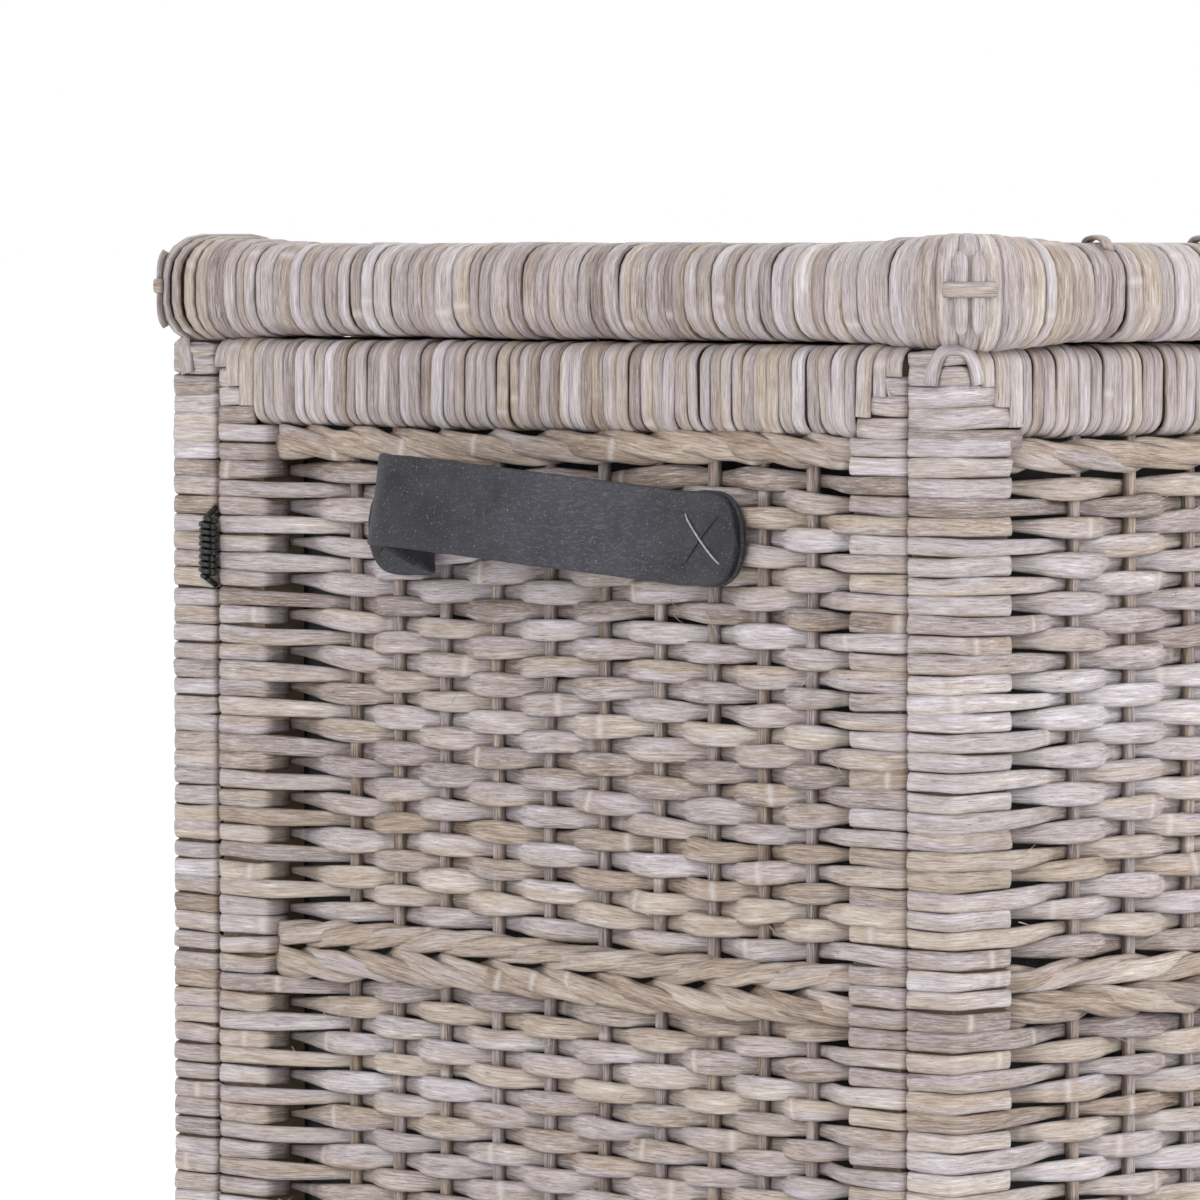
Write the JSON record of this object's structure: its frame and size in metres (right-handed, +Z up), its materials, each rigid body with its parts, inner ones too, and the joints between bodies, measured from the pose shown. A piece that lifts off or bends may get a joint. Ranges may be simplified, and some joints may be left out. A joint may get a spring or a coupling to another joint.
{
  "type": "wicker storage trunk",
  "caption": "Rectangular woven cane storage trunk with wrapped frame panels, a hinged wrapped lid and a leather strap handle at each end.",
  "frame": {"origin": "on the floor under the middle of the trunk", "axes": "+X along the trunk towards the right handle, +Y from the front to the hinged back, +Z up"},
  "size_m": [0.9694, 0.504, 0.566],
  "materials": {
    "woven_cane": "weathered, whitewashed cane strands with a thin satin coat",
    "wrapped_cane": "weathered grey-brown cane strips, satin to glossy",
    "stake_cane": "dull grey-brown round cane",
    "pole_wood": "plain sawn wood",
    "lining_cloth": "charcoal plain-weave cloth, matt",
    "black_leather": "black grained leather, slightly worn edges",
    "waxed_thread": "thin waxed thread",
    "black_wire": "black coated steel wire",
    "dark_metal": "dark bronze painted steel"
  },
  "bodies": {
    "trunk": {"front_top_rail": "pole_wood", "front_bottom_rail": "pole_wood", "front_posts": "pole_wood", "front_stakes": "stake_cane", "front_weave": "woven_cane", "front_post_wraps": "wrapped_cane", "front_rim_wrap": "wrapped_cane", "front_base_wrap": "wrapped_cane", "back_top_rail": "pole_wood", "back_bottom_rail": "pole_wood", "back_posts": "pole_wood", "back_stakes": "stake_cane", "back_weave": "woven_cane", "back_post_wraps": "wrapped_cane", "back_rim_wrap": "wrapped_cane", "back_base_wrap": "wrapped_cane", "left_top_rail": "pole_wood", "left_bottom_rail": "pole_wood", "left_posts": "pole_wood", "left_stakes": "stake_cane", "left_weave": "woven_cane", "left_post_wraps": "wrapped_cane", "left_rim_wrap": "wrapped_cane", "left_base_wrap": "wrapped_cane", "right_top_rail": "pole_wood", "right_bottom_rail": "pole_wood", "right_posts": "pole_wood", "right_stakes": "stake_cane", "right_weave": "woven_cane", "right_post_wraps": "wrapped_cane", "right_rim_wrap": "wrapped_cane", "right_base_wrap": "wrapped_cane", "base_battens": "pole_wood", "base_weave": "woven_cane", "liner": "lining_cloth", "left_hinge_body_leaf": "dark_metal", "right_hinge_body_leaf": "dark_metal", "hinge_pins": "dark_metal", "hinge_body_screws": "dark_metal", "left_handle": "black_leather", "right_handle": "black_leather", "handle_backings": "black_leather", "handle_stitches": "waxed_thread", "corner_ties": "black_wire"},
    "lid": {"lid_front_bar": "pole_wood", "lid_back_bar": "pole_wood", "lid_left_bar": "pole_wood", "lid_right_bar": "pole_wood", "lid_front_wrap": "wrapped_cane", "lid_back_wrap": "wrapped_cane", "lid_left_wrap": "wrapped_cane", "lid_right_wrap": "wrapped_cane", "lid_corner_bindings": "wrapped_cane", "lid_stakes": "stake_cane", "lid_weave": "woven_cane", "lid_braces": "pole_wood", "lid_lining": "lining_cloth", "left_hinge_lid_leaf": "dark_metal", "right_hinge_lid_leaf": "dark_metal", "hinge_lid_screws": "dark_metal"}
  },
  "joints": [
    {"name": "lid_hinge", "type": "hinge", "parent": "trunk", "child": "lid", "pos_m": [0, 0.246, 0.5185], "axis": [-1, 0, 0], "range_deg": [0, 100]}
  ]
}
